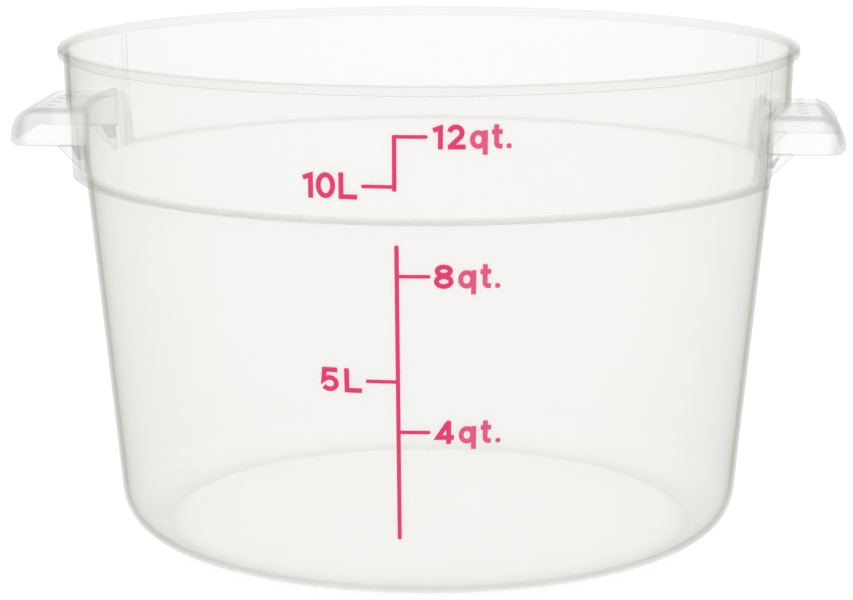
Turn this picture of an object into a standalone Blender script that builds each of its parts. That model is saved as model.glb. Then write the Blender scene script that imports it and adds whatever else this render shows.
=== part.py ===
"""Round translucent food storage tub with two moulded tab handles and a printed volume scale.

Metres, +Z up. The origin is the middle of the base. The handles lie on X, the scale on the -Y side.
"""

import math
from collections import namedtuple

import bmesh
import bpy

# Tub wall, outside sizes
HEIGHT = 0.2086
RIM_RADIUS = 0.1572
RIM_HEIGHT = 0.0040
RIM_WIDTH = 0.0024
RIM_ROUND = 0.0009
COLLAR_HEIGHT = 0.0541
COLLAR_DRAFT = 0.0016
COLLAR_CORNER = 0.0022
LEDGE_WIDTH = 0.0068
LEDGE_ROUND = 0.0010
BODY_DRAFT = 0.0146
FOOT_ROUND = 0.0180
WALL = 0.0023
FLOOR = 0.0026

COLLAR_TOP_RADIUS = RIM_RADIUS - RIM_WIDTH
COLLAR_FOOT_RADIUS = COLLAR_TOP_RADIUS - COLLAR_DRAFT
LEDGE_HEIGHT = HEIGHT - COLLAR_HEIGHT
BODY_TOP_RADIUS = COLLAR_FOOT_RADIUS - LEDGE_WIDTH
BODY_FOOT_RADIUS = BODY_TOP_RADIUS - BODY_DRAFT

# Recess in the collar around each handle, almost down to the body
RECESS_HALF_WIDTH = 0.0505
RECESS_LEVEL_HALF_WIDTH = 0.0080
RECESS_DROP = 0.0211
RECESS_ARCH_HEIGHT = 0.0235
RECESS_SIDE_BORDER = 0.0035
RECESS_TOP_BORDER = 0.0055
RECESS_STEP = 0.0006

RECESS_TOP_HEIGHT = HEIGHT - RECESS_DROP
RECESS_FACE_RADIUS = BODY_TOP_RADIUS + RECESS_STEP

# Handle, a plate with a skirt round its edge, open underneath
HANDLE_DROP = 0.0264
HANDLE_DEPTH = 0.0161
HANDLE_HALF_WIDTH = 0.0345
HANDLE_REACH = 0.0229
HANDLE_NOSE = 0.0118
HANDLE_NOSE_DROP = 0.0138
HANDLE_CORNER = 0.0095
HANDLE_EDGE_ROUND = 0.0030
HANDLE_TIP_ROUND = 0.0014
HANDLE_PLATE = 0.0024
HANDLE_SKIRT = 0.0022
RIB_COUNT = 5
RIB_PITCH = 0.0113
RIB_THICKNESS = 0.0016
RIB_DEPTH = 0.0050
RIB_REACH = 0.0094
GUSSET_THICKNESS = 0.0018
GUSSET_REACH = 0.0110

HANDLE_TOP_HEIGHT = HEIGHT - HANDLE_DROP

# Printed scale
INK_GAP = 0.0003
INK_THICKNESS = 0.0003
LINE_WIDTH = 0.00165
TICK_WIDTH = 0.00140
TICK_LENGTH = 0.0125
LETTER_HEIGHT = 0.0095
LETTER_STROKE = 0.0019
LABEL_START = 0.0141
UPPER_LINE_TAIL = 0.0018
LOWER_LINE_TOP_DROP = 0.0082
LOWER_LINE_FOOT = 0.0272
TWELVE_QUART_DROP = 0.0194
TEN_LITRE_RISE = 0.0156
EIGHT_QUART_SHARE = 0.8680
FIVE_LITRE_SHARE = 0.5948
FOUR_QUART_SHARE = 0.4628

# Heights of the volume marks, from the rim, the ledge and the base
TWELVE_QUART_HEIGHT = HEIGHT - TWELVE_QUART_DROP
TEN_LITRE_HEIGHT = LEDGE_HEIGHT + TEN_LITRE_RISE
EIGHT_QUART_HEIGHT = LEDGE_HEIGHT * EIGHT_QUART_SHARE
FIVE_LITRE_HEIGHT = LEDGE_HEIGHT * FIVE_LITRE_SHARE
FOUR_QUART_HEIGHT = LEDGE_HEIGHT * FOUR_QUART_SHARE
UPPER_LINE_FOOT = TEN_LITRE_HEIGHT - UPPER_LINE_TAIL
LOWER_LINE_TOP = LEDGE_HEIGHT - LOWER_LINE_TOP_DROP

# Making of the shapes
OVERRUN = 0.0060
SEAT_OVERLAP = 0.0005
MERGE = 0.00001
TURN_STEPS = 96
ARC_STEPS = 4
ARCH_STEPS = 5
RING_STEPS = 16
TICK_STEPS = 3
EDGE_ROUND_MOST_SHARE = 0.8
INSIDE_GROWTH_SHARE = 0.6

PLASTIC_COLOUR = (0.86, 0.87, 0.84, 1)
INK_COLOUR = (0.74, 0.04, 0.16, 1)

# Each label stands at the height of its mark, on one side of the line. Its size and the spaces
# between its figures are shares of the height of a figure.
Label = namedtuple("Label", "name text side height size_share space_share")

LABELS = (
    Label("12qt", "12qt.", 1, TWELVE_QUART_HEIGHT, 0.99, 0.165),
    Label("10L", "10L", -1, TEN_LITRE_HEIGHT, 1.07, 0.080),
    Label("8qt", "8qt.", 1, EIGHT_QUART_HEIGHT, 1.02, 0.165),
    Label("5L", "5L", -1, FIVE_LITRE_HEIGHT, 1.02, 0.206),
    Label("4qt", "4qt.", 1, FOUR_QUART_HEIGHT, 0.99, 0.191),
)


def clear_scene():
    for obj in list(bpy.data.objects):
        bpy.data.objects.remove(obj, do_unlink=True)


def new_collection(name):
    collection = bpy.data.collections.new(name)
    bpy.context.scene.collection.children.link(collection)
    return collection


def new_material(name, colour, roughness):
    material = bpy.data.materials.new(name)
    material.use_nodes = True
    shader = material.node_tree.nodes["Principled BSDF"]
    shader.inputs["Base Color"].default_value = colour
    shader.inputs["Roughness"].default_value = roughness
    shader.inputs["Metallic"].default_value = 0
    return material


def new_object(name, bm, collection):
    """An object from a bmesh, whose faces are turned outwards first."""
    bmesh.ops.recalc_face_normals(bm, faces=bm.faces)
    mesh = bpy.data.meshes.new(name)
    bm.to_mesh(mesh)
    bm.free()
    obj = bpy.data.objects.new(name, mesh)
    collection.objects.link(obj)
    return obj


def as_cutter(obj):
    obj.hide_render = True
    obj.display_type = "WIRE"
    return obj


def combine(obj, other, operation):
    step = obj.modifiers.new(operation.lower() + "_" + other.name, "BOOLEAN")
    step.operation = operation
    step.object = other
    step.solver = "EXACT"


def arc(centre, radius, start, end, steps=ARC_STEPS):
    """Points (radius, height) along an arc, with its angles in radians."""
    points = []
    for step in range(steps + 1):
        angle = start + (end - start) * step / steps
        points.append((centre[0] + radius * math.cos(angle), centre[1] + radius * math.sin(angle)))
    return points


def turned(name, profile, collection):
    """A solid turned about Z from a profile that runs down its outer side and ends on the axis."""
    bm = bmesh.new()
    verts = [bm.verts.new((radius, 0, height)) for radius, height in profile]
    for upper, lower in zip(verts, verts[1:]):
        bm.edges.new((upper, lower))
    mesh = bpy.data.meshes.new(name)
    bm.to_mesh(mesh)
    bm.free()
    obj = bpy.data.objects.new(name, mesh)
    collection.objects.link(obj)
    screw = obj.modifiers.new("turn", "SCREW")
    screw.steps = TURN_STEPS
    screw.render_steps = TURN_STEPS
    screw.use_merge_vertices = True
    screw.merge_threshold = MERGE
    return obj


def collar_radius(height):
    share = (height - LEDGE_HEIGHT) / (HEIGHT - LEDGE_HEIGHT)
    return COLLAR_FOOT_RADIUS + (COLLAR_TOP_RADIUS - COLLAR_FOOT_RADIUS) * share


def body_radius(height):
    return BODY_FOOT_RADIUS + (BODY_TOP_RADIUS - BODY_FOOT_RADIUS) * height / LEDGE_HEIGHT


def mouth_radius():
    return collar_radius(HEIGHT) - WALL


def wall_radius(height):
    return collar_radius(height) if height > LEDGE_HEIGHT else body_radius(height)


def foot_arc(wall, floor):
    """The round between a wall that stands in by wall and a floor at that height."""
    lean = math.atan((BODY_TOP_RADIUS - BODY_FOOT_RADIUS) / LEDGE_HEIGHT)
    radius = FOOT_ROUND - wall
    height = floor + radius
    centre = (body_radius(height) - wall - radius / math.cos(lean), height)
    return arc(centre, radius, -lean, -math.pi / 2)


def outer_profile():
    rim_foot = HEIGHT - RIM_HEIGHT
    rim_centre = RIM_RADIUS - RIM_ROUND
    corner = (COLLAR_FOOT_RADIUS - COLLAR_CORNER, LEDGE_HEIGHT + COLLAR_CORNER)
    profile = [(0, HEIGHT), (mouth_radius(), HEIGHT)]
    profile += arc((rim_centre, HEIGHT - RIM_ROUND), RIM_ROUND, math.pi / 2, 0, 2)
    profile += [(RIM_RADIUS, rim_foot), (collar_radius(rim_foot), rim_foot)]
    profile += arc(corner, COLLAR_CORNER, 0, -math.pi / 2)
    profile += [(BODY_TOP_RADIUS, LEDGE_HEIGHT)]
    profile += foot_arc(0, 0)
    profile += [(0, 0)]
    return profile


def inner_profile():
    ledge = LEDGE_HEIGHT + WALL
    step = body_radius(LEDGE_HEIGHT) - WALL
    mouth = HEIGHT + OVERRUN
    profile = [(0, mouth), (mouth_radius(), mouth), (mouth_radius(), HEIGHT)]
    profile += [(collar_radius(ledge) - WALL, ledge)]
    profile += arc((step + LEDGE_ROUND, ledge - LEDGE_ROUND), LEDGE_ROUND, math.pi / 2, math.pi, 2)
    profile += foot_arc(WALL, FLOOR)
    profile += [(0, FLOOR)]
    return profile


def arch_place(offset, height, half_width, arch_height):
    """Below 1 inside an arch and above 1 outside it. Its top corners are quarters of an ellipse."""
    arch_foot = RECESS_TOP_HEIGHT - RECESS_ARCH_HEIGHT
    across = max(abs(offset) - RECESS_LEVEL_HALF_WIDTH, 0) / (half_width - RECESS_LEVEL_HALF_WIDTH)
    above = max(height - arch_foot, 0) / arch_height
    return math.hypot(across, above)


def recess_depth(offset, height, growth=0):
    """Depth below the collar at a distance round the wall from the handle's middle and at a height.

    The recess has a level face inside one arch, and slopes up to the collar at the next arch out.
    The depth is negative outside that, where the cutter stands clear of the wall.
    """
    outer = (RECESS_HALF_WIDTH + growth, RECESS_ARCH_HEIGHT + growth)
    inner = (outer[0] - RECESS_SIDE_BORDER, outer[1] - RECESS_TOP_BORDER)
    out_place = arch_place(offset, height, *outer)
    in_place = arch_place(offset, height, *inner)
    full = collar_radius(height) - RECESS_FACE_RADIUS
    if in_place <= 1:
        return full
    return full * (1 - out_place) / (in_place - out_place)


def recess_rows(growth, inset):
    """Heights of the cutter's grid, each with the outer arch's half width there.

    One row lies level with the ledge that the cutter crosses.
    """
    arch_foot = RECESS_TOP_HEIGHT - RECESS_ARCH_HEIGHT
    widest = RECESS_HALF_WIDTH + growth
    low_heights = (LEDGE_HEIGHT - OVERRUN, LEDGE_HEIGHT + inset)
    rows = [(height, widest) for height in low_heights]
    for step in range(ARCH_STEPS + 1):
        angle = math.pi / 2 * step / ARCH_STEPS
        height = arch_foot + (RECESS_ARCH_HEIGHT + growth) * math.sin(angle)
        reach = (widest - RECESS_LEVEL_HALF_WIDTH) * math.cos(angle)
        rows.append((height, RECESS_LEVEL_HALF_WIDTH + reach))
    rows.append((RECESS_TOP_HEIGHT + growth + RECESS_TOP_BORDER / 2, RECESS_LEVEL_HALF_WIDTH))
    return rows


def recess_offsets(half_width):
    """Distances round the wall of the grid's columns at a height, closest together at the border."""
    inner = half_width - RECESS_SIDE_BORDER
    middle_shares = (0.12, 0.35, 0.58, 0.8, 1)
    half = [inner * share for share in middle_shares]
    half += [half_width - RECESS_SIDE_BORDER / 2, half_width, half_width + RECESS_SIDE_BORDER / 2]
    return [-value for value in reversed(half)] + half


def recess_cutter(name, side, inset, collection):
    """The space outside the recessed wall, drawn in by inset: a loft between unlike level sections."""
    growth = inset * INSIDE_GROWTH_SHARE
    bm = bmesh.new()
    layers = []
    for far in (False, True):
        rows = []
        for height, half_width in recess_rows(growth, inset):
            row = []
            for offset in recess_offsets(half_width):
                radius = collar_radius(height) - recess_depth(offset, height, growth) - inset
                if far:
                    radius = RIM_RADIUS + OVERRUN
                angle = offset / COLLAR_FOOT_RADIUS
                point = (side * radius * math.cos(angle), side * radius * math.sin(angle), height)
                row.append(bm.verts.new(point))
            rows.append(row)
        layers.append(rows)
    near, far = layers
    last_row = len(near) - 1
    last_column = len(near[0]) - 1
    for row in range(last_row):
        for column in range(last_column):
            for rows in layers:
                lower = (rows[row][column], rows[row][column + 1])
                upper = (rows[row + 1][column + 1], rows[row + 1][column])
                bm.faces.new(lower + upper)
        for column in (0, last_column):
            bm.faces.new((near[row][column], near[row + 1][column], far[row + 1][column], far[row][column]))
    for row in (0, last_row):
        for column in range(last_column):
            bm.faces.new((near[row][column], near[row][column + 1], far[row][column + 1], far[row][column]))
    return as_cutter(new_object(name, bm, collection))


def handle_root():
    """Where the handle starts, inside the recessed wall. The cavity trims what stands in it."""
    return math.sqrt(BODY_TOP_RADIUS**2 - HANDLE_HALF_WIDTH**2)


def handle_tip():
    return COLLAR_FOOT_RADIUS + HANDLE_REACH


def handle_section(place, shrink, drop):
    """Half width and top height of the handle at a distance from the axis, drawn in by shrink and drop."""
    tip = handle_tip() - shrink
    half_width = HANDLE_HALF_WIDTH - shrink
    corner = HANDLE_CORNER - shrink
    past = max(place - (tip - corner), 0)
    half_width -= corner - math.sqrt(max(corner**2 - past**2, 0))
    nose = HANDLE_NOSE - shrink
    share = max(place - (tip - nose), 0) / nose
    fall = (HANDLE_NOSE_DROP - drop) * (1 - math.sqrt(max(1 - share**2, 0)))
    return half_width, HANDLE_TOP_HEIGHT - drop - fall


def handle_block(name, side, shrink, drop, foot, collection):
    """The handle's outside, or its hollow where it is drawn in: a loft between unlike sections."""
    tip = handle_tip() - shrink
    nose = HANDLE_NOSE - shrink
    edge_round = max(HANDLE_EDGE_ROUND - shrink, SEAT_OVERLAP)
    angles = [math.pi / 2 * step / (2 * ARC_STEPS) for step in range(2 * ARC_STEPS + 1)]
    places = [handle_root()] + [tip - nose + nose * math.sin(angle) for angle in angles]
    bm = bmesh.new()
    rings = []
    for place in places:
        half_width, top = handle_section(place, shrink, drop)
        lift = HANDLE_TIP_ROUND if place == places[-1] else 0
        bottom = foot + lift
        corner = min(edge_round, (top - bottom) * EDGE_ROUND_MOST_SHARE)
        right = arc((half_width - corner, top - corner), corner, 0, math.pi / 2, 3)
        left = [(-y, z) for y, z in reversed(right)]
        outline = [(half_width, bottom)] + right + left + [(-half_width, bottom)]
        rings.append([bm.verts.new((side * place, side * y, z)) for y, z in outline])
    for ring, following in zip(rings, rings[1:]):
        for index, vert in enumerate(ring):
            after = (index + 1) % len(ring)
            bm.faces.new((vert, ring[after], following[after], following[index]))
    bm.faces.new(rings[0])
    bm.faces.new(rings[-1])
    return as_cutter(new_object(name, bm, collection))


def box(name, low, high, collection):
    bm = bmesh.new()
    bmesh.ops.create_cube(bm, size=1)
    for vert in bm.verts:
        for axis in range(3):
            middle = (low[axis] + high[axis]) / 2
            vert.co[axis] = middle + vert.co[axis] * (high[axis] - low[axis])
    return as_cutter(new_object(name, bm, collection))


def gusset(name, side, edge, collection):
    """The small 45 degree web from the skirt's foot to the wall, in the plane of the skirt's side."""
    foot = HANDLE_TOP_HEIGHT - HANDLE_DEPTH
    top = foot + HANDLE_SKIRT
    root = handle_root()
    tip = root + GUSSET_REACH
    outline = ((root, top), (root, foot - GUSSET_REACH), (tip, foot), (tip, top))
    centre = edge * (HANDLE_HALF_WIDTH - HANDLE_SKIRT / 2)
    bm = bmesh.new()
    layers = []
    for y in (centre - GUSSET_THICKNESS / 2, centre + GUSSET_THICKNESS / 2):
        layers.append([bm.verts.new((side * place, y, height)) for place, height in outline])
    near, far = layers
    for index in range(len(outline)):
        after = (index + 1) % len(outline)
        bm.faces.new((near[index], near[after], far[after], far[index]))
    bm.faces.new(near)
    bm.faces.new(far)
    return as_cutter(new_object(name, bm, collection))


def make_handle(word, side, cutters):
    """The whole handle on one side, with its hollow, ribs and two gussets."""
    foot = HANDLE_TOP_HEIGHT - HANDLE_DEPTH
    under_plate = HANDLE_TOP_HEIGHT - HANDLE_PLATE
    handle = handle_block("handle_" + word, side, 0, 0, foot, cutters)
    hollow = handle_block("hollow_" + word, side, HANDLE_SKIRT, HANDLE_PLATE, foot - OVERRUN, cutters)
    wall = turned("hollow_end_" + word, recessed_wall_profile(), cutters)
    combine(hollow, as_cutter(wall), "DIFFERENCE")
    for index in range(RIB_COUNT):
        middle = (index - (RIB_COUNT - 1) / 2) * RIB_PITCH
        ends = sorted((side * handle_root(), side * (COLLAR_FOOT_RADIUS + RIB_REACH)))
        low = (ends[0], middle - RIB_THICKNESS / 2, under_plate - RIB_DEPTH)
        high = (ends[1], middle + RIB_THICKNESS / 2, HANDLE_TOP_HEIGHT)
        rib = box("rib_" + word + "_" + str(index + 1), low, high, cutters)
        combine(hollow, rib, "DIFFERENCE")
    combine(handle, hollow, "DIFFERENCE")
    for number, edge in enumerate((-1, 1)):
        combine(handle, gusset("gusset_" + word + "_" + str(number + 1), side, edge, cutters), "UNION")
    return handle


def recessed_wall_profile():
    """The recess's face carried right round, just inside the wall, where the handle's hollow ends."""
    radius = RECESS_FACE_RADIUS - SEAT_OVERLAP
    return [(0, RECESS_TOP_HEIGHT), (radius, RECESS_TOP_HEIGHT), (radius, LEDGE_HEIGHT), (0, LEDGE_HEIGHT)]


def make_tub(collection, cutters, plastic):
    tub = turned("tub", outer_profile(), collection)
    cavity = as_cutter(turned("cavity", inner_profile(), cutters))
    for word, side in (("right", 1), ("left", -1)):
        combine(tub, recess_cutter("recess_" + word, side, 0, cutters), "DIFFERENCE")
        combine(tub, make_handle(word, side, cutters), "UNION")
        combine(cavity, recess_cutter("recess_inside_" + word, side, WALL, cutters), "DIFFERENCE")
    combine(tub, cavity, "DIFFERENCE")
    tub.data.materials.append(plastic)
    return tub


def path(*points):
    return list(points), False


def bowl(centre, radii, start, end):
    """Points along part of an ellipse, from one angle to another, both in degrees."""
    steps = max(2, round(RING_STEPS * abs(end - start) / 360))
    points = []
    for step in range(steps + 1):
        angle = math.radians(start + (end - start) * step / steps)
        points.append((centre[0] + radii[0] * math.cos(angle), centre[1] + radii[1] * math.sin(angle)))
    return points


def ring(centre, radii):
    return bowl(centre, radii, 0, 360)[:-1], True


# Middle lines of the strokes of each figure, and its width, in shares of the height of a figure
STROKE_SHARES = {
    "0": [ring((0.40, 0.50), (0.28, 0.40))],
    "1": [path((0.05, 0.760), (0.345, 0.865), (0.345, 0))],
    "2": [
        path(*bowl((0.34, 0.66), (0.25, 0.24), 172, -42), (0.11, 0.10)),
        path((0.02, 0.09), (0.73, 0.09)),
    ],
    "4": [path((0.78, 0.28), (0.12, 0.28), (0.52, 0.90)), path((0.56, 1), (0.56, 0))],
    "5": [path((0.70, 0.91), (0.17, 0.91), (0.12, 0.47), *bowl((0.37, 0.34), (0.28, 0.24), 128, -150))],
    "8": [ring((0.39, 0.73), (0.26, 0.17)), ring((0.39, 0.30), (0.29, 0.20))],
    "L": [path((0.12, 1), (0.12, 0.09), (0.73, 0.09))],
    "q": [ring((0.34, 0.38), (0.24, 0.28)), path((0.62, 0.75), (0.62, -0.24))],
    "t": [
        path((0.19, 0.98), (0.19, 0.22), *bowl((0.31, 0.22), (0.12, 0.12), 200, 270), (0.43, 0.10)),
        path((0, 0.68), (0.43, 0.68)),
    ],
    ".": [path((0.10, 0), (0.10, 0.20))],
}
WIDTH_SHARES = {
    "0": 0.80,
    "1": 0.45,
    "2": 0.73,
    "4": 0.78,
    "5": 0.76,
    "8": 0.79,
    "L": 0.73,
    "q": 0.72,
    "t": 0.43,
    ".": 0.20,
}


def offset_points(points, closed, widths):
    """The two edges of a stroke along its middle line, with mitred corners."""
    count = len(points)
    left = []
    right = []
    for index, (x, y) in enumerate(points):
        normals = []
        for first in (index - 1, index):
            if not closed and (first < 0 or first + 1 >= count):
                continue
            start = points[first % count]
            end = points[(first + 1) % count]
            length = math.dist(start, end)
            normals.append(((start[1] - end[1]) / length, (end[0] - start[0]) / length))
        across = sum(normal[0] for normal in normals)
        along = sum(normal[1] for normal in normals)
        size = math.hypot(across, along)
        reach = widths[index] / 2 * len(normals) / size
        left.append((x + across / size * reach, y + along / size * reach))
        right.append((x - across / size * reach, y - along / size * reach))
    return left, right


def stroke(name, points, closed, widths, collection):
    """A flat bar of even thickness along a middle line: across, up and out from the wall."""
    bm = bmesh.new()
    left, right = offset_points(points, closed, widths)
    stations = []
    for (left_x, left_y), (right_x, right_y) in zip(left, right):
        corners = (
            (left_x, left_y, 0),
            (right_x, right_y, 0),
            (right_x, right_y, INK_THICKNESS),
            (left_x, left_y, INK_THICKNESS),
        )
        stations.append([bm.verts.new(corner) for corner in corners])
    pairs = list(zip(stations, stations[1:]))
    if closed:
        pairs.append((stations[-1], stations[0]))
    else:
        bm.faces.new(stations[0])
        bm.faces.new(stations[-1])
    for station, following in pairs:
        for index in range(4):
            after = (index + 1) % 4
            bm.faces.new((station[index], station[after], following[after], following[index]))
    return new_object(name, bm, collection)


def wrap(obj, start, collection, ink):
    """Lays a flat figure on the wall, start metres round from the middle line, as a finished object."""
    depsgraph = bpy.context.evaluated_depsgraph_get()
    mesh = bpy.data.meshes.new_from_object(obj.evaluated_get(depsgraph))
    middle = sum(vert.co.y for vert in mesh.vertices) / len(mesh.vertices)
    for vert in mesh.vertices:
        across, height, out = vert.co
        angle = (start + across) / wall_radius(middle)
        radius = wall_radius(height) + INK_GAP + out
        vert.co = (radius * math.sin(angle), -radius * math.cos(angle), height)
    mesh.name = obj.name
    mesh.materials.clear()
    mesh.materials.append(ink)
    finished = bpy.data.objects.new(obj.name + "_print", mesh)
    collection.objects.link(finished)
    return finished


def print_figure(name, strokes, start, collection, ink):
    """One printed figure: its strokes joined flat, then laid on the wall."""
    flat = []
    for index, (points, closed, widths) in enumerate(strokes):
        flat.append(stroke(name + "_flat_" + str(index), points, closed, widths, collection))
    for other in flat[1:]:
        combine(flat[0], other, "UNION")
    bpy.context.view_layer.update()
    figure = wrap(flat[0], start, collection, ink)
    for obj in flat:
        bpy.data.objects.remove(obj, do_unlink=True)
    figure.name = name
    return figure


def line_stroke(start, end, width, steps=1):
    """A straight bar in even steps, narrower at its very ends, as a printed line is."""
    length = math.dist(start, end)
    tips = width / 4 / length
    shares = [0, tips] + [step / steps for step in range(1, steps)] + [1 - tips, 1]
    points = []
    for share in shares:
        points.append((start[0] + (end[0] - start[0]) * share, start[1] + (end[1] - start[1]) * share))
    widths = [width / 2] + [width] * (len(points) - 2) + [width / 2]
    return points, False, widths


def tick(height, side):
    """A volume mark that starts in the middle line and runs to one side."""
    return line_stroke((0, height), (side * TICK_LENGTH, height), TICK_WIDTH, TICK_STEPS)


def make_lines(collection, ink):
    upper_top = TWELVE_QUART_HEIGHT + TICK_WIDTH / 2
    upper = [line_stroke((0, UPPER_LINE_FOOT), (0, upper_top), LINE_WIDTH)]
    upper += [tick(TWELVE_QUART_HEIGHT, 1), tick(TEN_LITRE_HEIGHT, -1)]
    print_figure("scale_line_upper", upper, 0, collection, ink)
    lower = [line_stroke((0, LOWER_LINE_FOOT), (0, LOWER_LINE_TOP), LINE_WIDTH)]
    lower += [tick(EIGHT_QUART_HEIGHT, 1), tick(FIVE_LITRE_HEIGHT, -1), tick(FOUR_QUART_HEIGHT, 1)]
    print_figure("scale_line_lower", lower, 0, collection, ink)


def make_label(label, collection, ink):
    """The figures of one label, each a node of its own, set out from the middle line."""
    size = label.size_share * LETTER_HEIGHT
    space = label.space_share * LETTER_HEIGHT
    widths = [WIDTH_SHARES[letter] * size for letter in label.text]
    total = sum(widths) + space * (len(widths) - 1)
    start = LABEL_START if label.side > 0 else -LABEL_START - total
    baseline = label.height - size / 2
    for number, (letter, width) in enumerate(zip(label.text, widths)):
        strokes = []
        for points, closed in STROKE_SHARES[letter]:
            placed = [(x * size, baseline + y * size) for x, y in points]
            if letter == ".":
                strokes.append(line_stroke(placed[0], placed[1], LETTER_STROKE))
            else:
                strokes.append((placed, closed, [LETTER_STROKE] * len(placed)))
        word = "stop" if letter == "." else letter
        name = "label_" + label.name + "_" + str(number + 1) + "_" + word
        print_figure(name, strokes, start, collection, ink)
        start += width + space


def shade(collection):
    for obj in collection.objects:
        obj.data.shade_smooth()
        obj.data.set_sharp_from_angle(angle=math.radians(30))


def main():
    clear_scene()
    parts = new_collection("food_storage_container")
    cutters = new_collection("cutters")
    plastic = new_material("translucent_polypropylene", PLASTIC_COLOUR, 0.4)
    ink = new_material("scale_ink", INK_COLOUR, 0.5)
    make_tub(parts, cutters, plastic)
    make_lines(parts, ink)
    for label in LABELS:
        make_label(label, parts, ink)
    shade(parts)


main()
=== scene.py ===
import math
from collections import namedtuple

import bmesh
import bpy
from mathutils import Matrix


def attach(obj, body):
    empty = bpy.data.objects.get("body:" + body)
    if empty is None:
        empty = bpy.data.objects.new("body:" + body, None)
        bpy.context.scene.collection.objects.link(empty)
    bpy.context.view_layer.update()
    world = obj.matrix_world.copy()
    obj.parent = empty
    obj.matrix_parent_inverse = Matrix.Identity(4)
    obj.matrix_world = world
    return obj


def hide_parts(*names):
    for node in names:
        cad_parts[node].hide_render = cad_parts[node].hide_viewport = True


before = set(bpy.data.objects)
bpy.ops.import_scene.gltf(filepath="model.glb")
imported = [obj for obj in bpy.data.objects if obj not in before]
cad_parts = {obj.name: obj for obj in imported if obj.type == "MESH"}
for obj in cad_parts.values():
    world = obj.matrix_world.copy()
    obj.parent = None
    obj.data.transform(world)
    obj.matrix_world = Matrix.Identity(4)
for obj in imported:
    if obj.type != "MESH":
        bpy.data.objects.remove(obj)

# Lengths in metres. The frame's origin is the middle of the base, +Z is up, the handles lie on X
# and the printed scale on the -Y side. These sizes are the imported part's own, apart from the
# handle's edge round, which is larger here.
HEIGHT = 0.2086
RIM_RADIUS = 0.1572
RIM_HEIGHT = 0.0040
RIM_ROUND = 0.0009
COLLAR_TOP_RADIUS = 0.1548
COLLAR_FOOT_RADIUS = 0.1532
COLLAR_CORNER = 0.0022
LEDGE_HEIGHT = 0.1545
LEDGE_ROUND = 0.0010
BODY_TOP_RADIUS = 0.1464
BODY_FOOT_RADIUS = 0.1318
FOOT_ROUND = 0.0180
WALL = 0.0023
FLOOR = 0.0026

RECESS_FACE_RADIUS = 0.1470

HANDLE_TOP_HEIGHT = 0.1822
HANDLE_DEPTH = 0.0161
HANDLE_HALF_WIDTH = 0.0345
HANDLE_REACH = 0.0229
HANDLE_NOSE = 0.0118
HANDLE_NOSE_DROP = 0.0138
HANDLE_CORNER = 0.0095
HANDLE_EDGE_ROUND = 0.0040
HANDLE_TIP_ROUND = 0.0014
HANDLE_PLATE = 0.0024
HANDLE_SKIRT = 0.0022
RIB_COUNT = 5
RIB_PITCH = 0.0113
RIB_THICKNESS = 0.0016
RIB_DEPTH = 0.0050
RIB_REACH = 0.0094
GUSSET_THICKNESS = 0.0018
GUSSET_REACH = 0.0110

# Fine forms that only this model has
MOUTH_ROUND = 0.0006
RIM_FOOT_ROUND = 0.0004
RIM_FILLET = 0.0008
LEDGE_FILLET = 0.0007
INNER_FILLET = 0.0014
SEAM_OFFSET = 0.0582
SEAM_WIDTH = 0.0010
SEAM_RISE = 0.00018
RIDGE_START = 0.0034
RIDGE_END = 0.0072
RIDGE_WIDTH = 0.0005
RIDGE_RISE = 0.00025
RIDGE_ROUND = 0.0001
ROOT_DEPTH = 0.0010
ROOT_FILLET = 0.0009
ROOT_FADE = 0.0090
SKIRT_EDGE_ROUND = 0.0008
TIP_RISE_LENGTH = 0.0030
WEB_EDGE_ROUND = 0.0003
FLOOR_SKIN = 0.0006
FLOOR_SKIN_RAMP = 0.0080
BASE_MARGIN = 0.0010
BASE_GAP = 0.00003
PANEL_RADIUS = 0.0985
PANEL_STEP = 0.0016
PANEL_DEPTH = 0.0005
GATE_RADIUS = 0.0045
GATE_DEPTH = 0.0006
SEAT = 0.0006
ROUND_MOST_SHARE = 0.45
CORNER_MOST_SHARE = 0.8
PAD_HALF_WIDTH = 0.0325
PAD_TOP_PLACE = 0.1503
PAD_LOW_PLACE = 0.1489
PAD_FOOT_PLACE = 0.1462
PAD_LOW_HEIGHT = 0.1663
PAD_FOOT_HEIGHT = 0.1605
PAD_STEP = 0.0040

# The arches of the recess round each handle, seen on the wall: half the level part of the top,
# half the whole width, height of the top, height of the rounded corner, growth of the half
# width per metre below the corner. The face is sunk inside the first arch of each pair and the
# wall is whole again outside the second.
Arch = namedtuple("Arch", "level half_width top corner growth")
OUTER_ARCHES = (
    Arch(level=0.0390, half_width=0.0475, top=0.1810, corner=0.0085, growth=0),
    Arch(level=0.0390, half_width=0.0530, top=0.1840, corner=0.0120, growth=0),
)
INNER_ARCHES = (
    Arch(level=0.0280, half_width=0.0480, top=0.1812, corner=0.0075, growth=0.18),
    Arch(level=0.0160, half_width=0.0615, top=0.1852, corner=0.0195, growth=0),
)

# Painted shade on the wall's edges: where the collar's foot band starts, and how dark it is. At
# the recess, the place of the band's middle and its half width, as shares of the outer arch.
LEDGE_LIGHT = 0.0003
FOOT_SHARE = 0.85
END_PLACE_SHARE = 0.97
END_WIDTH_SHARE = 0.20

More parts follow.
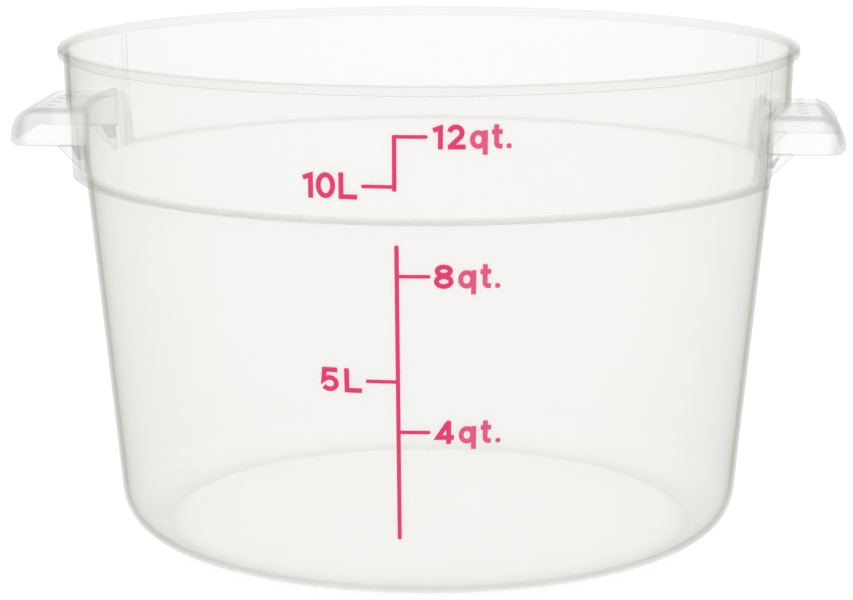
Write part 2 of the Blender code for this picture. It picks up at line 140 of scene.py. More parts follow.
# How finely the shapes are made
COARSE_STEP = 0.0050
FINE_STEP = 0.0011
FINE_START = 0.0160
FINE_END = 0.0650
ROW_STEP = 0.0010
FLOOR_STEP = 0.0150
BODY_ROWS = 14
ROUND_STEPS = 5
LIP_STEPS = 3
SMALL_STEPS = 4
CORNER_STEPS = 6
SKIN_STEPS = 6
PANEL_STEPS = 4
FOOT_STEPS = 14
HANDLE_STEPS = 14
SIDE_STEPS = 5
TOP_STEPS = 7
WEB_ROUND_SEGMENTS = 2
WEB_ROUND_PROFILE = 0.5
SEAM_SHARES = (-1, -0.5, 0, 0.5, 1)
FLARE_SHARES = (0, 0.12, 0.3, 0.6, 1)
SKIRT_FOOT_ANGLES = (0, math.pi / 6, math.pi / 3)
# Rings that close the nose below: the share of its height, and of the way in under its edge
NOSE_RING_SHARES = ((0.7, 0), (0.45, 0), (0.25, 0.13), (0.08, 0.5), (0, 1))
HANDLE_SHARP = math.radians(40)
PAD_SHARP = math.radians(30)
WEB_SHARP = math.radians(50)
MERGE_DISTANCE = 1e-7
SHORT_EDGE = 1e-8

# Camera
CAMERA_TURN = math.radians(4.8)
CAMERA_YAW = math.radians(0.043)
CAMERA_PITCH = math.radians(11.383)
CAMERA_DISTANCE = 1.198854
CAMERA_HEIGHT = 0.337271
CAMERA_LENS_MM = 118.88
SENSOR_MM = 36
CLIP_END = 100

# Light
AMBIENT_STRENGTH = 1.06
WHITE_STRENGTH = 1.0
KEY_WATTS = 4.0
FILL_WATTS = 2.0
KEY_PLACE = (-1.4, -1.2, 1.9)
FILL_PLACE = (1.7, -0.6, 1.3)
LAMP_SIZE = 1.6
FLOOR_DROP = 0.0003
FLOOR_SIZE = 16.0
FLOOR_COLOUR = (0.86, 0.86, 0.86, 1)
FLOOR_SEEN_COLOUR = (0.20, 0.20, 0.20, 1)
FLOOR_LIFT = 0.81

# Plastic: how much of a ray each surface stops, and how fast light fades inside it, per metre.
# The aslant values say how far a surface turns away before shade is painted on it, and the
# level values keep a level top free of that painted shade.
PLASTIC_COLOUR = (0.965, 0.962, 0.950, 1)
# Painted shade: the dark colour given to the plastic's fine edges and to rounds seen aslant
EDGE_SHADE_COLOUR = (0.05, 0.055, 0.07, 1)
# Painted shade: the ridges' dark grey stands for the dark lines over the ribs under the plate
RIDGE_SHADE_COLOUR = (0.20, 0.21, 0.24, 1)
PLASTIC_ALPHA = 0.14
HANDLE_ALPHA = 0.21
PAD_ALPHA = 0.04
RIB_ALPHA = 0.03
GUSSET_ALPHA = 0.20
RIDGE_ALPHA = 0.14
BASE_ALPHA = 0.05
PLASTIC_TINT = (0.40, 0.40, 0.32, 1)
WALL_DENSITY = 28.0
HANDLE_DENSITY = 9.0
PAD_DENSITY = 3.0
WEB_DENSITY = 3.0
BASE_DENSITY = 2.0
ASLANT_START = 0.03
ASLANT_END = 0.17
LEVEL_START = 0.985
LEVEL_END = 0.998
FACING_BLEND = 0.5
PLASTIC_IOR = 1.49

# Fine grain in the plastic's surface, and clouds of more and less gloss
GRAIN_SCALE = 900.0
GRAIN_DETAIL = 3.0
GRAIN_ROUGHNESS = 0.6
CLOUD_SCALE = 22.0
CLOUD_DETAIL = 4.0
CLOUD_ROUGHNESS = 0.55
PLASTIC_GLOSSIEST = 0.27
PLASTIC_DULLEST = 0.43
BUMP_STRENGTH = 0.25
BUMP_DISTANCE = 0.0002

# Ink. The q, the t and the stop are printed thinner, so they look paler.
INK_COLOUR = (0.76, 0.020, 0.130, 1)
THIN_INK_COLOUR = (0.78, 0.070, 0.190, 1)
INK_SPECULAR = 0.25
INK_GRAIN_SCALE = 2600.0
INK_GRAIN_DETAIL = 2.0
INK_CHANGE = (0, 0.03, 0.04, 0)
INK_GLOSSIEST = 0.35
INK_DULLEST = 0.55

# Surfaces that a ray may pass straight through, enough for every skin of the tub and handles
TRANSPARENT_BOUNCES = 48


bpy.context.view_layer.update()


def collar_radius(height):
    share = (height - LEDGE_HEIGHT) / (HEIGHT - LEDGE_HEIGHT)
    return COLLAR_FOOT_RADIUS + (COLLAR_TOP_RADIUS - COLLAR_FOOT_RADIUS) * share


def body_radius(height):
    return BODY_FOOT_RADIUS + (BODY_TOP_RADIUS - BODY_FOOT_RADIUS) * height / LEDGE_HEIGHT


def smooth(share):
    share = min(max(share, 0), 1)
    return share * share * (3 - 2 * share)


def arch_place(offset, height, arch):
    """Below 1 inside an arch and above 1 outside it. Its top corners are quarters of an ellipse."""
    below = arch.top - arch.corner - height
    half_width = arch.half_width + arch.growth * max(below, 0)
    across = max(abs(offset) - arch.level, 0) / (half_width - arch.level)
    return math.hypot(across, max(-below, 0) / arch.corner)


def recess_depth(offset, height, arches=OUTER_ARCHES):
    """Depth of the recess round a handle, at a distance round the wall and a height."""
    in_place = arch_place(offset, height, arches[0])
    out_place = arch_place(offset, height, arches[1])
    full = collar_radius(height) - RECESS_FACE_RADIUS
    if in_place <= 1:
        return full
    return full * smooth((1 - out_place) / (in_place - out_place))


def inner_depth(offset, height):
    return max(recess_depth(offset, height), recess_depth(offset, height, INNER_ARCHES))


def seam_rise(offset):
    """The fine raised line that the mould's slide leaves beside the recess."""
    return SEAM_RISE * (1 - smooth(abs(abs(offset) - SEAM_OFFSET) / SEAM_WIDTH * 2))


def arc(centre, radius, start, end, steps=ROUND_STEPS):
    points = []
    for step in range(steps + 1):
        angle = start + (end - start) * step / steps
        points.append((centre[0] + radius * math.cos(angle), centre[1] + radius * math.sin(angle)))
    return points


def even(start, end, count):
    """Values from start to end in even steps, without start."""
    return [start + (end - start) * index / count for index in range(1, count + 1)]


def spread(start, end, step):
    """Values from start to end in even steps no longer than step, without start."""
    return even(start, end, max(1, math.ceil(abs(end - start) / step)))


def foot_arc(wall, floor):
    """The round between a wall that stands in by wall and a floor at that height."""
    lean = math.atan((BODY_TOP_RADIUS - BODY_FOOT_RADIUS) / LEDGE_HEIGHT)
    radius = FOOT_ROUND - wall
    height = floor + radius
    centre = (body_radius(height) - wall - radius / math.cos(lean), height)
    return arc(centre, radius, -lean, -math.pi / 2, FOOT_STEPS)


def collar_rows(top, foot):
    return [top] + spread(top, foot, ROW_STEP)


def outer_profile(offset):
    """Radius and height of the outer skin from the mouth's edge to the floor's thin middle."""
    mouth = collar_radius(HEIGHT) - WALL
    rim_foot = HEIGHT - RIM_HEIGHT
    quarter = math.pi / 2
    upper = (mouth + MOUTH_ROUND, HEIGHT - MOUTH_ROUND)
    points = arc(upper, MOUTH_ROUND, math.pi, quarter, SMALL_STEPS)
    points += arc((RIM_RADIUS - RIM_ROUND, HEIGHT - RIM_ROUND), RIM_ROUND, quarter, 0)
    lower = (RIM_RADIUS - RIM_FOOT_ROUND, rim_foot + RIM_FOOT_ROUND)
    points += arc(lower, RIM_FOOT_ROUND, 0, -quarter, LIP_STEPS)
    fillet = (collar_radius(rim_foot) + RIM_FILLET, rim_foot - RIM_FILLET)
    points += arc(fillet, RIM_FILLET, quarter, math.pi, SMALL_STEPS)
    foot = COLLAR_FOOT_RADIUS - recess_depth(offset, LEDGE_HEIGHT)
    corner = min(COLLAR_CORNER, (foot - BODY_TOP_RADIUS) * ROUND_MOST_SHARE)
    for height in collar_rows(rim_foot - RIM_FILLET, LEDGE_HEIGHT + COLLAR_CORNER)[1:-1]:
        radius = collar_radius(height) - recess_depth(offset, height) + seam_rise(offset)
        points.append((radius, height))
    points += arc((foot - corner, LEDGE_HEIGHT + corner), corner, 0, -quarter, CORNER_STEPS)
    size = min(LEDGE_FILLET, (foot - BODY_TOP_RADIUS) * ROUND_MOST_SHARE)
    fillet = (BODY_TOP_RADIUS + size, LEDGE_HEIGHT - size)
    points += arc(fillet, size, quarter, math.pi, SMALL_STEPS)
    start = points[-1][1]
    foot_points = foot_arc(0, 0)
    for height in even(start, foot_points[0][1], BODY_ROWS)[:-1]:
        points.append((body_radius(height), height))
    points += foot_points
    return points + skin_underside(0)


def skin_underside(gap):
    """Where the wall's own thin floor skin ends below, and the thick base under it starts."""
    edge = foot_arc(0, 0)[-1][0] - BASE_MARGIN - gap
    points = []
    for share in [0] + even(0, 1, SKIN_STEPS):
        rise = (FLOOR - FLOOR_SKIN) * smooth(share)
        points.append((edge - FLOOR_SKIN_RAMP * share, max(rise - gap, 0)))
    start, level = points[-1]
    return points + [(radius, level) for radius in spread(start, FLOOR_STEP, FLOOR_STEP)]


def base_profile():
    """The base under the floor, from the middle of its top round its edge to the middle below."""
    points = list(reversed(skin_underside(BASE_GAP)))
    edge = points[-1][0]
    points += [(radius, 0) for radius in spread(edge, PANEL_RADIUS, FINE_STEP * 2)]
    for share in even(0, 1, PANEL_STEPS):
        points.append((PANEL_RADIUS - PANEL_STEP * share, PANEL_DEPTH * smooth(share)))
    inner = PANEL_RADIUS - PANEL_STEP
    points += [(radius, PANEL_DEPTH) for radius in spread(inner, GATE_RADIUS * 2, FLOOR_STEP)]
    for share in even(0, 1, PANEL_STEPS):
        points.append((GATE_RADIUS * (2 - share), PANEL_DEPTH + GATE_DEPTH * smooth(share)))
    points.append((GATE_RADIUS / 3, PANEL_DEPTH + GATE_DEPTH))
    points.append((GATE_RADIUS / 4, PANEL_DEPTH))
    return points


def inner_profile(offset):
    """Radius and height of the inner skin from below the mouth's edge to the floor."""
    points = []
    ledge = LEDGE_HEIGHT + WALL
    step = body_radius(LEDGE_HEIGHT) - WALL
    foot = COLLAR_FOOT_RADIUS - inner_depth(offset, LEDGE_HEIGHT) - WALL
    top = min(LEDGE_ROUND, (foot - step) * ROUND_MOST_SHARE)
    fillet = min(INNER_FILLET, (foot - step) * ROUND_MOST_SHARE)
    for height in collar_rows(HEIGHT - MOUTH_ROUND, ledge + INNER_FILLET)[1:-1]:
        points.append((collar_radius(height) - inner_depth(offset, height) - WALL, height))
    points += arc((foot - fillet, ledge + fillet), fillet, 0, -math.pi / 2)
    points += arc((step + top, ledge - top), top, math.pi / 2, math.pi, SMALL_STEPS)
    foot_points = foot_arc(WALL, FLOOR)
    start = points[-1][1]
    for height in even(start, foot_points[0][1], BODY_ROWS)[:-1]:
        points.append((body_radius(height) - WALL, height))
    points += foot_points
    points += [(radius, FLOOR) for radius in spread(foot_points[-1][0], FLOOR_STEP, FLOOR_STEP)]
    return points


def offsets_round():
    """Places round the wall as angles, each with its distance from the nearer handle's middle."""
    quarter = COLLAR_FOOT_RADIUS * math.pi / 2
    line = [SEAM_OFFSET + SEAM_WIDTH * share for share in SEAM_SHARES]
    half = spread(0, FINE_START, COARSE_STEP) + spread(FINE_START, line[0], FINE_STEP)
    half += line[1:] + spread(line[-1], FINE_END, FINE_STEP)
    half += spread(FINE_END, quarter, COARSE_STEP)
    places = []
    for start in (0, math.pi):
        places += [(start + offset / COLLAR_FOOT_RADIUS, offset) for offset in [0] + half[:-1]]
        end = start + math.pi
        places += [(end - offset / COLLAR_FOOT_RADIUS, offset) for offset in reversed(half)]
    return places


def new_object(name, mesh):
    obj = bpy.data.objects.new(name, mesh)
    bpy.context.scene.collection.objects.link(obj)
    return obj


def mesh_object(name, verts, faces, sharp=None):
    mesh = bpy.data.meshes.new(name)
    mesh.from_pydata(verts, [], faces)
    bm = bmesh.new()
    bm.from_mesh(mesh)
    bmesh.ops.remove_doubles(bm, verts=bm.verts, dist=MERGE_DISTANCE)
    bmesh.ops.dissolve_degenerate(bm, edges=bm.edges, dist=SHORT_EDGE)
    bmesh.ops.recalc_face_normals(bm, faces=bm.faces)
    bm.to_mesh(mesh)
    bm.free()
    mesh.shade_smooth()
    if sharp:
        mesh.set_sharp_from_angle(angle=sharp)
    return new_object(name, mesh)


def turned_object(name, places, profile):
    """A closed body whose profile, from axis round to axis, may differ from place to place."""
    columns = []
    for angle, offset in places:
        columns.append([(r * math.cos(angle), r * math.sin(angle), z) for r, z in profile(offset)])
    rows = len(columns[0])
    count = len(columns)
    verts = [point for column in columns for point in column]
    faces = []
    for column in range(count):
        across = (column + 1) % count * rows - column * rows
        for start in range(column * rows, column * rows + rows - 1):
            faces.append((start, start + 1, start + across + 1, start + across))
    for row in (0, rows - 1):
        verts.append((0, 0, columns[0][row][2]))
        for column in range(count):
            faces.append((column * rows + row, (column + 1) % count * rows + row, len(verts) - 1))
    return mesh_object(name, verts, faces)


def edge_shade_share(x, y, z):
    """1 where shade is painted on the fine edges, which look darker: the rim's two outer edges, the
    seams and the collar's foot and its ends at the recess."""
    radius = math.hypot(x, y)
    rim_foot = HEIGHT - RIM_HEIGHT
    if z > rim_foot - RIM_FILLET / 2:
        out = smooth((radius - RIM_RADIUS + RIM_ROUND) / RIM_ROUND)
        top = out * smooth((z - HEIGHT + RIM_ROUND) / RIM_ROUND * 2)
        foot = smooth((radius - collar_radius(z)) / RIM_FILLET)
        return max(top, foot * smooth((rim_foot + RIM_FOOT_ROUND - z) / RIM_FOOT_ROUND))
    if z < LEDGE_HEIGHT or radius < BODY_TOP_RADIUS - WALL / 2:
        return 0
    offset = math.atan2(abs(y), abs(x)) * COLLAR_FOOT_RADIUS
    seam = 1 - smooth(abs(offset - SEAM_OFFSET) / SEAM_WIDTH * 2 - 1)
    face_arch, end_arch = OUTER_ARCHES
    low = 1 - smooth((z - face_arch.top + end_arch.corner) / face_arch.corner)
    place = arch_place(offset, z, end_arch)
    end = low * (1 - smooth(abs(place - END_PLACE_SHARE) / END_WIDTH_SHARE))
    if radius < COLLAR_FOOT_RADIUS - COLLAR_CORNER:
        return max(seam, end)
    above = z - LEDGE_HEIGHT
    foot = smooth((above - LEDGE_LIGHT) / LEDGE_LIGHT)
    foot *= 1 - smooth((above - COLLAR_CORNER / 2) / COLLAR_CORNER)
    return max(seam, end, foot * FOOT_SHARE)


def tub_profile(offset):
    return list(reversed(inner_profile(offset))) + outer_profile(offset)


def make_tub():
    tub = turned_object("tub_shell", offsets_round(), tub_profile)
    # The edge attribute marks where shade is painted on the wall's fine edges
    edge_shades = tub.data.attributes.new("edge", "FLOAT", "POINT")
    edge_shades.data.foreach_set("value", [edge_shade_share(*vert.co) for vert in tub.data.vertices])
    return tub


def make_base():
    count = math.ceil(2 * math.pi * BODY_FOOT_RADIUS / COARSE_STEP)
    places = [(2 * math.pi * index / count, 0) for index in range(count)]
    return turned_object("tub_base", places, lambda offset: base_profile())


def root_place(across):
    """Where a handle's pieces start, inside the recessed wall, at a distance to the side."""
    return math.sqrt((RECESS_FACE_RADIUS - ROOT_DEPTH) ** 2 - across**2)


def handle_section(place, shrink, drop):
    """Half width and top height of the handle at a distance from the axis.

    The hollow's are drawn in by shrink at the sides and by drop at the top.
    """
    tip = COLLAR_FOOT_RADIUS + HANDLE_REACH - shrink
    half_width = HANDLE_HALF_WIDTH - shrink
    corner = HANDLE_CORNER - shrink
    past = max(place - (tip - corner), 0)
    half_width -= corner - math.sqrt(max(corner**2 - past**2, 0))
    nose = HANDLE_NOSE - shrink
    share = max(place - (tip - nose), 0) / nose
    fall = (HANDLE_NOSE_DROP - drop) * (1 - math.sqrt(max(1 - share**2, 0)))
    return half_width, HANDLE_TOP_HEIGHT - drop - fall


def handle_skin(shrink, drop, edge):
    """Rings of the handle's outside or hollow, from the wall to the nose and down to the foot.

    The skirt's foot is rounded outwards or inwards by edge, and the outside flares at the wall.
    """
    tip = COLLAR_FOOT_RADIUS + HANDLE_REACH - shrink
    nose = HANDLE_NOSE - shrink
    foot = HANDLE_TOP_HEIGHT - HANDLE_DEPTH
    edge_round = max(HANDLE_EDGE_ROUND - shrink, SEAT)
    start = RECESS_FACE_RADIUS - ROOT_DEPTH
    places = [start] + [RECESS_FACE_RADIUS + ROOT_FILLET * share for share in FLARE_SHARES]
    places += even(places[-1], tip - nose, HANDLE_STEPS // 2)
    angles = even(0, math.pi / 2, HANDLE_STEPS)
    places += [tip - nose + nose * math.sin(angle) for angle in angles]
    rings = []
    for place in places:
        half_width, top = handle_section(place, shrink, drop)
        if edge > 0:
            short = min(max(ROOT_FILLET - (place - RECESS_FACE_RADIUS), 0), ROOT_FILLET)
            flare = ROOT_FILLET - math.sqrt(ROOT_FILLET**2 - short**2)
            half_width += flare
            top += flare
        low = foot + HANDLE_TIP_ROUND * smooth((place - tip + TIP_RISE_LENGTH) / TIP_RISE_LENGTH)
        corner = min(edge_round, (top - low) * CORNER_MOST_SHARE)
        size = abs(edge)
        right = [(half_width - edge * (1 - math.sin(turn)), low + size * (1 - math.cos(turn)))
                 for turn in SKIRT_FOOT_ANGLES]
        rise = top - corner - low - size
        right += [(half_width, low + size + rise * step / SIDE_STEPS) for step in range(SIDE_STEPS)]
        right += arc((half_width - corner, top - corner), corner, 0, math.pi / 2, CORNER_STEPS)
        level = half_width - corner
        right += [(level * (1 - step / TOP_STEPS), top) for step in range(1, TOP_STEPS)]
        fade = 1 - smooth((place - RECESS_FACE_RADIUS) / ROOT_FADE)
        ring = []
        for y, z in right + [(0, top)] + [(-y, z) for y, z in reversed(right)]:
            ring.append((place - (start - root_place(y)) * fade, y, z))
        rings.append(ring)
    last = rings[-1]
    low = min(z for x, y, z in last)
    for share, inward in NOSE_RING_SHARES:
        rings.append([(x - edge * inward, y, low + (z - low) * share) for x, y, z in last])
    return rings


def make_handle(name, side):
    """A plate with a skirt: an outer and an inner skin, joined at the wall and the foot."""
    skins = [
        handle_skin(0, 0, SKIRT_EDGE_ROUND),
        handle_skin(HANDLE_SKIRT, HANDLE_PLATE, -SKIRT_EDGE_ROUND),
    ]
    rows = len(skins[0])
    columns = len(skins[0][0])
    verts = []
    for rings in skins:
        for ring in rings:
            verts += [(side * x, side * y, z) for x, y, z in ring]
    faces = []
    size = rows * columns
    for layer in range(2):
        for row in range(rows - 1):
            for column in range(columns - 1):
                start = layer * size + row * columns + column
                faces.append((start, start + 1, start + columns + 1, start + columns))
    for row in range(rows - 1):
        for column in (0, columns - 1):
            start = row * columns + column
            faces.append((start, start + columns, size + start + columns, size + start))
    for row in (0, rows - 1):
        for column in range(columns - 1):
            start = row * columns + column
            faces.append((start, start + 1, size + start + 1, size + start))
    return mesh_object(name, verts, faces, HANDLE_SHARP)


def make_pad(name, side):
    """The flat pad between the skirts at the wall. Its foot slopes back to the wall."""
    top = HANDLE_TOP_HEIGHT - HANDLE_PLATE / 2
    verts = []
    for across in [-PAD_HALF_WIDTH] + spread(-PAD_HALF_WIDTH, PAD_HALF_WIDTH, PAD_STEP):
        root = root_place(across)
        foot = max(PAD_FOOT_PLACE, root + SEAT)
        points = ((root, top), (PAD_TOP_PLACE, top), (PAD_LOW_PLACE, PAD_LOW_HEIGHT))
        points += ((foot, PAD_FOOT_HEIGHT), (root, PAD_FOOT_HEIGHT))
        verts += [(side * x, across, z) for x, z in points]
    size = len(points)
    columns = len(verts) // size
    faces = [tuple(range(size)), tuple(range(len(verts) - size, len(verts)))]
    for column in range(columns - 1):
        for index in range(size):
            start = column * size + index
            after = column * size + (index + 1) % size
            faces.append((start, after, after + size, start + size))
    return mesh_object(name, verts, faces, PAD_SHARP)


def bar(name, outline, low, high, round_size):
    """A flat web: an outline of (x, z) points between two y values, with its edges rounded."""
    bm = bmesh.new()
    layers = [[bm.verts.new((x, y, z)) for x, z in outline] for y in (low, high)]
    count = len(outline)
    for index in range(count):
        after = (index + 1) % count
        bm.faces.new((layers[0][index], layers[0][after], layers[1][after], layers[1][index]))
    bm.faces.new(layers[0])
    bm.faces.new(layers[1])
    bmesh.ops.recalc_face_normals(bm, faces=bm.faces)
    bmesh.ops.bevel(
        bm,
        geom=bm.edges[:],
        offset=round_size,
        segments=WEB_ROUND_SEGMENTS,
        profile=WEB_ROUND_PROFILE,
        affect="EDGES",
    )
    mesh = bpy.data.meshes.new(name)
    bm.to_mesh(mesh)
    bm.free()
    mesh.shade_smooth()
    mesh.set_sharp_from_angle(angle=WEB_SHARP)
    return new_object(name, mesh)


def make_webs(word, side):
    """The ribs under the plate, their lines on its top and the gussets below the skirt."""
    under = HANDLE_TOP_HEIGHT - HANDLE_PLATE
    foot = HANDLE_TOP_HEIGHT - HANDLE_DEPTH
    webs = []
    for index in range(RIB_COUNT):
        middle = (index - (RIB_COUNT - 1) / 2) * RIB_PITCH
        tip = COLLAR_FOOT_RADIUS + RIB_REACH
        root = root_place(middle)
        low = under - RIB_DEPTH
        outline = ((root, low), (tip, low), (tip, under + SEAT), (root, under + SEAT))
        webs.append((f"rib_{word}_{index + 1}", outline, middle, RIB_THICKNESS, WEB_EDGE_ROUND))
        low = HANDLE_TOP_HEIGHT - RIDGE_RISE
        high = HANDLE_TOP_HEIGHT + RIDGE_RISE
        near = COLLAR_FOOT_RADIUS + RIDGE_START
        far = COLLAR_FOOT_RADIUS + RIDGE_END
        outline = ((near, low), (far, low), (far, high), (near, high))
        webs.append((f"ridge_{word}_{index + 1}", outline, middle, RIDGE_WIDTH, RIDGE_ROUND))
    for number, edge in enumerate((-1, 1)):
        middle = edge * (HANDLE_HALF_WIDTH - HANDLE_SKIRT / 2)
        root = root_place(middle)
        face = root + ROOT_DEPTH
        outline = (
            (root, foot + SEAT),
            (root, foot - GUSSET_REACH),
            (face, foot - GUSSET_REACH),
            (face + GUSSET_REACH, foot),
            (face + GUSSET_REACH, foot + SEAT),
        )
        name = f"gusset_{word}_{number + 1}"
        webs.append((name, outline, middle, GUSSET_THICKNESS, WEB_EDGE_ROUND))
    made = []
    for name, outline, middle, thickness, edge_round in webs:
        outline = [(side * x, z) for x, z in outline]
        half = thickness / 2
        made.append(bar(name, outline, middle - half, middle + half, edge_round))
    return made


def add(tree, kind, **inputs):
    node = tree.nodes.new(kind)
    for name, value in inputs.items():
        node.inputs[name.replace("_", " ")].default_value = value
    return node


def new_material(name):
    material = bpy.data.materials.new(name)
    material.use_nodes = True
    material.node_tree.nodes.clear()
    return material, material.node_tree


def edge_shade_mask(tree):
    """Where shade is painted on the wall's fine edges, which the mesh marks."""
    mark = add(tree, "ShaderNodeAttribute")
    mark.attribute_name = "edge"
    return mark.outputs["Fac"]


def math_node(tree, operation, first, second=None):
    node = add(tree, "ShaderNodeMath")
    node.operation = operation
    tree.links.new(first, node.inputs[0])
    if second:
        tree.links.new(second, node.inputs[1])
    return node.outputs[0]


def map_range(tree, value, start=0, end=1, low=0, high=1):
    """Values from start to end become values from low to high."""
    node = add(tree, "ShaderNodeMapRange", From_Min=start, From_Max=end, To_Min=low, To_Max=high)
    tree.links.new(value, node.inputs["Value"])
    return node.outputs["Result"]


def mix_colours(tree, factor, first, second):
    node = add(tree, "ShaderNodeMix")
    node.data_type = "RGBA"
    node.inputs["A"].default_value = first
    node.inputs["B"].default_value = second
    tree.links.new(factor, node.inputs["Factor"])
    return node.outputs["Result"]


def noise(tree, **inputs):
    """Grain or clouds that stay fixed to the object."""
    place = add(tree, "ShaderNodeTexCoord")
    node = add(tree, "ShaderNodeTexNoise", **inputs)
    tree.links.new(place.outputs["Object"], node.inputs["Vector"])
    return node.outputs["Fac"]


def aslant_shade_mask(tree):
    """Painted shade on rounds seen aslant, where a ray goes a long way through the plastic, but not
    on a level top.
    """
    facing = add(tree, "ShaderNodeLayerWeight", Blend=FACING_BLEND)
    aslant = map_range(tree, facing.outputs["Facing"], ASLANT_START, ASLANT_END)
    place = add(tree, "ShaderNodeNewGeometry")
    parts = add(tree, "ShaderNodeSeparateXYZ")
    tree.links.new(place.outputs["Normal"], parts.inputs["Vector"])
    level = math_node(tree, "ABSOLUTE", parts.outputs["Z"])
    return math_node(tree, "MULTIPLY", aslant, map_range(tree, level, LEVEL_END, LEVEL_START))


def rim_shade_mask(tree):
    """The same painted shade, but only where the outside of a surface is seen."""
    place = add(tree, "ShaderNodeNewGeometry")
    mask = aslant_shade_mask(tree)
    back = math_node(tree, "MULTIPLY", mask, place.outputs["Backfacing"])
    return math_node(tree, "SUBTRACT", mask, back)


def plastic_material(kind, alpha, density, mask=None, colour=PLASTIC_COLOUR):
    """Milky plastic. Where the mask is 1 its colour is the painted shade of an edge."""
    material, tree = new_material("translucent_polypropylene" + kind)
    link = tree.links.new
    shader = add(tree, "ShaderNodeBsdfPrincipled", IOR=PLASTIC_IOR, Alpha=alpha)
    shader.inputs["Base Color"].default_value = colour
    if mask:
        link(mix_colours(tree, mask(tree), colour, EDGE_SHADE_COLOUR), shader.inputs["Base Color"])
    grain = noise(tree, Scale=GRAIN_SCALE, Detail=GRAIN_DETAIL, Roughness=GRAIN_ROUGHNESS)
    cloud = noise(tree, Scale=CLOUD_SCALE, Detail=CLOUD_DETAIL, Roughness=CLOUD_ROUGHNESS)
    rough = map_range(tree, cloud, low=PLASTIC_GLOSSIEST, high=PLASTIC_DULLEST)
    link(rough, shader.inputs["Roughness"])
    bump = add(tree, "ShaderNodeBump", Strength=BUMP_STRENGTH, Distance=BUMP_DISTANCE)
    link(grain, bump.inputs["Height"])
    link(bump.outputs["Normal"], shader.inputs["Normal"])
    inside = add(tree, "ShaderNodeVolumeAbsorption", Color=PLASTIC_TINT, Density=density)
    end = add(tree, "ShaderNodeOutputMaterial")
    link(shader.outputs["BSDF"], end.inputs["Surface"])
    link(inside.outputs["Volume"], end.inputs["Volume"])
    return material


def ink_material(name, colour):
    material, tree = new_material(name)
    link = tree.links.new
    shader = add(tree, "ShaderNodeBsdfPrincipled")
    shader.inputs["Specular IOR Level"].default_value = INK_SPECULAR
    grain = noise(tree, Scale=INK_GRAIN_SCALE, Detail=INK_GRAIN_DETAIL)
    lighter = [first + more for first, more in zip(colour, INK_CHANGE)]
    link(mix_colours(tree, grain, colour, lighter), shader.inputs["Base Color"])
    rough = map_range(tree, grain, low=INK_GLOSSIEST, high=INK_DULLEST)
    link(rough, shader.inputs["Roughness"])
    end = add(tree, "ShaderNodeOutputMaterial")
    link(shader.outputs["BSDF"], end.inputs["Surface"])
    return material


def paint(obj, material):
    obj.data.materials.clear()
    obj.data.materials.append(material)


def white_rays(tree):
    """1 for a ray from the camera, also by way of gloss or glass, and 0 for the rest."""
    path = add(tree, "ShaderNodeLightPath").outputs
    straight = math_node(tree, "MAXIMUM", path["Is Camera Ray"], path["Is Glossy Ray"])
    return math_node(tree, "MAXIMUM", straight, path["Is Transmission Ray"])


def make_world():
    world = bpy.data.worlds.new("studio")
    bpy.context.scene.world = world
    world.use_nodes = True
    tree = world.node_tree
    tree.nodes.clear()
    sky = add(tree, "ShaderNodeBackground", Color=(1, 1, 1, 1))
    strength = map_range(tree, white_rays(tree), low=AMBIENT_STRENGTH, high=WHITE_STRENGTH)
    tree.links.new(strength, sky.inputs["Strength"])
    end = add(tree, "ShaderNodeOutputWorld")
    tree.links.new(sky.outputs["Background"], end.inputs["Surface"])


def make_floor():
    half = FLOOR_SIZE / 2
    corners = [(-half, -half, 0), (half, -half, 0), (half, half, 0), (-half, half, 0)]
    floor = mesh_object("floor", corners, [(0, 1, 2, 3)])
    floor.location.z = -FLOOR_DROP
    material, tree = new_material("studio_floor")
    seen = white_rays(tree)
    matte = add(tree, "ShaderNodeBsdfDiffuse")
    tone = mix_colours(tree, seen, FLOOR_COLOUR, FLOOR_SEEN_COLOUR)
    tree.links.new(tone, matte.inputs["Color"])
    glow = add(tree, "ShaderNodeEmission")
    tree.links.new(map_range(tree, seen, high=FLOOR_LIFT), glow.inputs["Strength"])
    both = add(tree, "ShaderNodeAddShader")
    tree.links.new(matte.outputs["BSDF"], both.inputs[0])
    tree.links.new(glow.outputs["Emission"], both.inputs[1])
    end = add(tree, "ShaderNodeOutputMaterial")
    tree.links.new(both.outputs["Shader"], end.inputs["Surface"])
    paint(floor, material)


def make_lamp(name, place, watts):
    data = bpy.data.lights.new(name, "AREA")
    data.shape = "DISK"
    data.size = LAMP_SIZE
    data.energy = watts
    lamp = new_object(name, data)
    lamp.location = place
    aim = -lamp.location
    aim.z += HEIGHT / 2
    lamp.rotation_euler = aim.to_track_quat("-Z", "Y").to_euler()


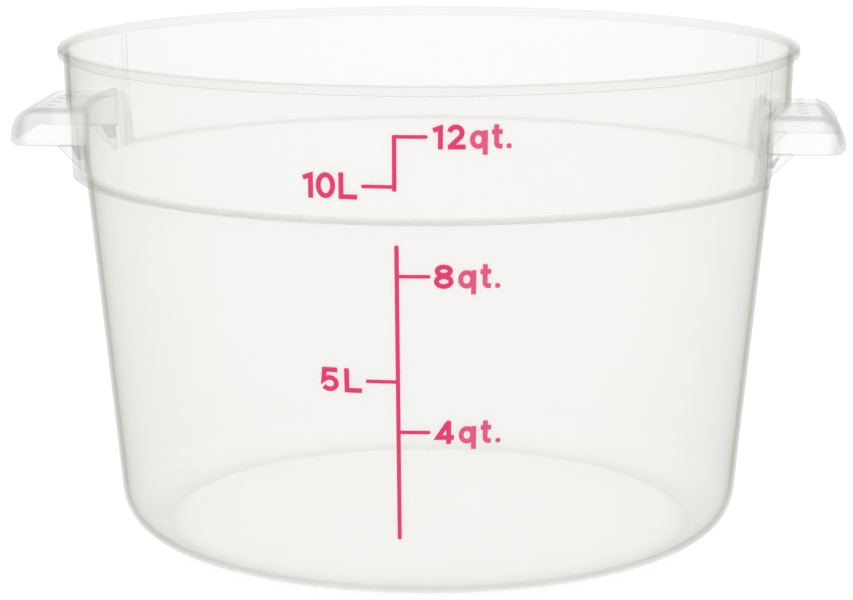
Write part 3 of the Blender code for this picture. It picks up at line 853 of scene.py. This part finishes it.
def make_camera():
    data = bpy.data.cameras.new("camera")
    data.sensor_fit = "HORIZONTAL"
    data.sensor_width = SENSOR_MM
    data.lens = CAMERA_LENS_MM
    data.clip_end = CLIP_END
    camera = new_object("camera", data)
    across = CAMERA_DISTANCE * math.sin(CAMERA_TURN)
    camera.location = (across, -CAMERA_DISTANCE * math.cos(CAMERA_TURN), CAMERA_HEIGHT)
    camera.rotation_euler = (math.pi / 2 - CAMERA_PITCH, 0, CAMERA_TURN + CAMERA_YAW)
    bpy.context.scene.camera = camera


make_camera()
make_world()
make_floor()
make_lamp("key", KEY_PLACE, KEY_WATTS)
make_lamp("fill", FILL_PLACE, FILL_WATTS)

# The wall gets painted shade on its rim, seams and collar foot
wall_plastic = plastic_material("", PLASTIC_ALPHA, WALL_DENSITY, edge_shade_mask)
# The handles and gussets get painted shade on rounds seen aslant from the camera
handle_plastic = plastic_material("_handle", HANDLE_ALPHA, HANDLE_DENSITY, rim_shade_mask)
web_plastics = {
    "pad": plastic_material("_pad", PAD_ALPHA, PAD_DENSITY),
    "rib": plastic_material("_rib", RIB_ALPHA, WEB_DENSITY),
    # The ridges get a painted shade colour for the lines over the ribs
    "ridge": plastic_material("_ridge", RIDGE_ALPHA, WEB_DENSITY, None, RIDGE_SHADE_COLOUR),
    "gusset": plastic_material("_gusset", GUSSET_ALPHA, WEB_DENSITY, aslant_shade_mask),
}
base_plastic = plastic_material("_base", BASE_ALPHA, BASE_DENSITY)
ink = ink_material("scale_ink", INK_COLOUR)
thin_ink = ink_material("scale_ink_thin", THIN_INK_COLOUR)

shell = make_tub()
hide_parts("tub")
paint(shell, wall_plastic)
base = make_base()
paint(base, base_plastic)
pieces = [shell, base]
for word, side in (("right", 1), ("left", -1)):
    handle = make_handle("handle_" + word, side)
    paint(handle, handle_plastic)
    pieces.append(handle)
    for piece in [make_pad("pad_" + word, side)] + make_webs(word, side):
        paint(piece, web_plastics[piece.name.split("_")[0]])
        pieces.append(piece)
for piece in pieces:
    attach(piece, "root")

for name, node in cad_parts.items():
    if name != "tub":
        paint(node, thin_ink if name.endswith(("_q", "_t", "_stop")) else ink)

bpy.context.scene.view_settings.view_transform = "Standard"
bpy.context.scene.cycles.transparent_max_bounces = TRANSPARENT_BOUNCES
